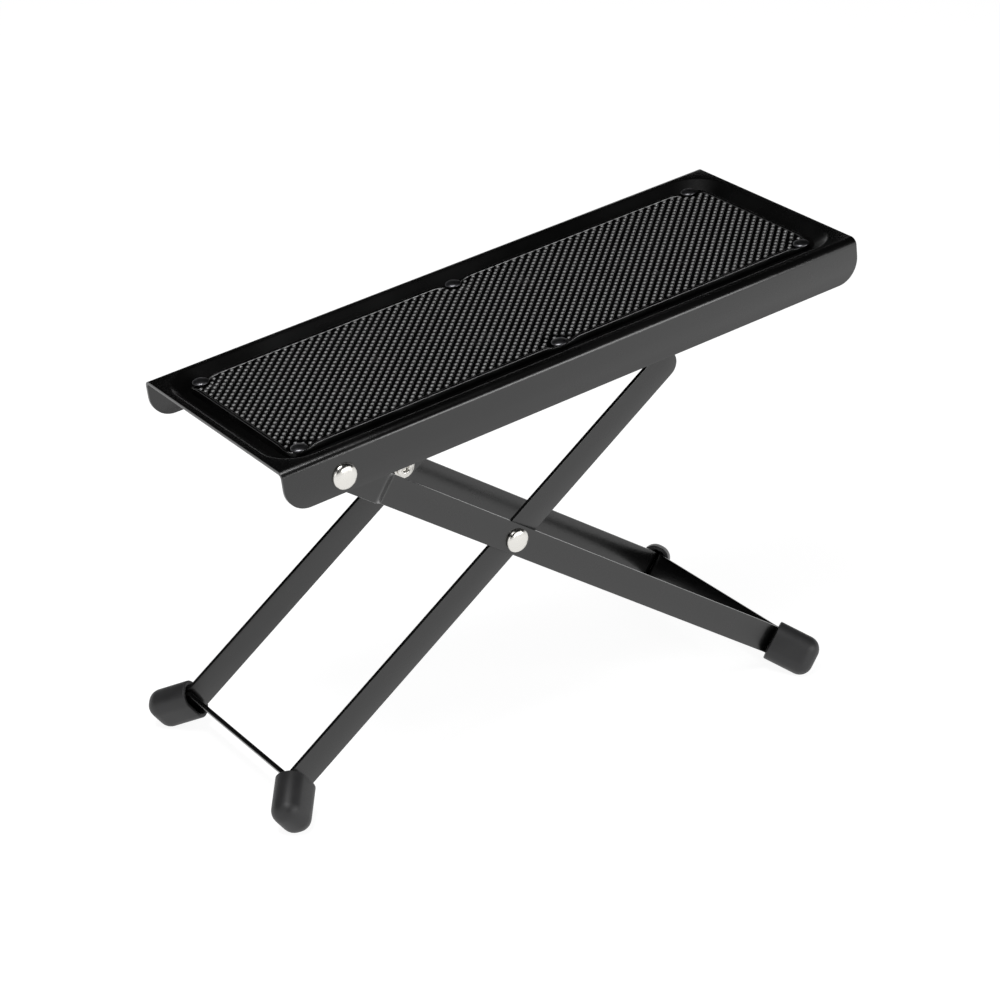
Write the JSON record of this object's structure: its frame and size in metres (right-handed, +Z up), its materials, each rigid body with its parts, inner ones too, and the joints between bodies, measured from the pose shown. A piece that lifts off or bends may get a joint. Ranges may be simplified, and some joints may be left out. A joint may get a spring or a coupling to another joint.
{
  "type": "folding guitar footrest",
  "caption": "Folding guitarist's footrest: a sloping studded platform on crossed U-shaped legs with a rest rod in notched height racks.",
  "frame": {"origin": "on the floor, under the middle of the whole footrest as it stands in its fifth notch", "axes": "+X along the platform towards its raised end, +Y across it to the far side, +Z up"},
  "size_m": [0.303, 0.1316, 0.2141],
  "materials": {
    "frame_paint": "black powder coat, satin",
    "tread_rubber": "moulded studs, semi-matt",
    "foot_rubber": "moulded, matt",
    "nickel_rivet": "nickel plated, bright",
    "dark_rivet": "black nickel, semi-bright"
  },
  "bodies": {
    "outer_legs": {"outer_leg_frame": "frame_paint", "scissor_rivet_near": "nickel_rivet", "scissor_spacer_near": "nickel_rivet", "scissor_washer_near": "nickel_rivet", "outer_foot_near": "foot_rubber", "scissor_rivet_far": "nickel_rivet", "scissor_spacer_far": "nickel_rivet", "scissor_washer_far": "nickel_rivet", "outer_foot_far": "foot_rubber"},
    "platform_assembly": {"platform": "frame_paint", "rack_near": "frame_paint", "rack_far": "frame_paint", "tread_mat": "tread_rubber", "mat_rivet_low_near": "dark_rivet", "mat_rivet_low_far": "dark_rivet", "mat_rivet_middle_near": "dark_rivet", "mat_rivet_middle_far": "dark_rivet", "mat_rivet_high_near": "dark_rivet", "mat_rivet_high_far": "dark_rivet", "platform_pivot_rivet_near": "nickel_rivet", "platform_pivot_spacer_near": "nickel_rivet", "platform_pivot_washer_near": "nickel_rivet", "platform_pivot_rivet_far": "nickel_rivet", "platform_pivot_spacer_far": "nickel_rivet", "platform_pivot_washer_far": "nickel_rivet"},
    "inner_legs": {"inner_leg_frame": "frame_paint", "rest_rod": "frame_paint", "inner_foot_near": "foot_rubber", "inner_foot_far": "foot_rubber"}
  },
  "joints": [
    {"name": "platform_lift", "type": "hinge", "parent": "outer_legs", "child": "platform_assembly", "pos_m": [-0.11668, 0, 0.16138], "axis": [0, -1, 0], "range_deg": [0, 140]},
    {"name": "leg_fold", "type": "hinge", "parent": "outer_legs", "child": "inner_legs", "pos_m": [-0.02353, 0, 0.10497], "axis": [0, 1, 0], "range_deg": [0, 46]}
  ]
}
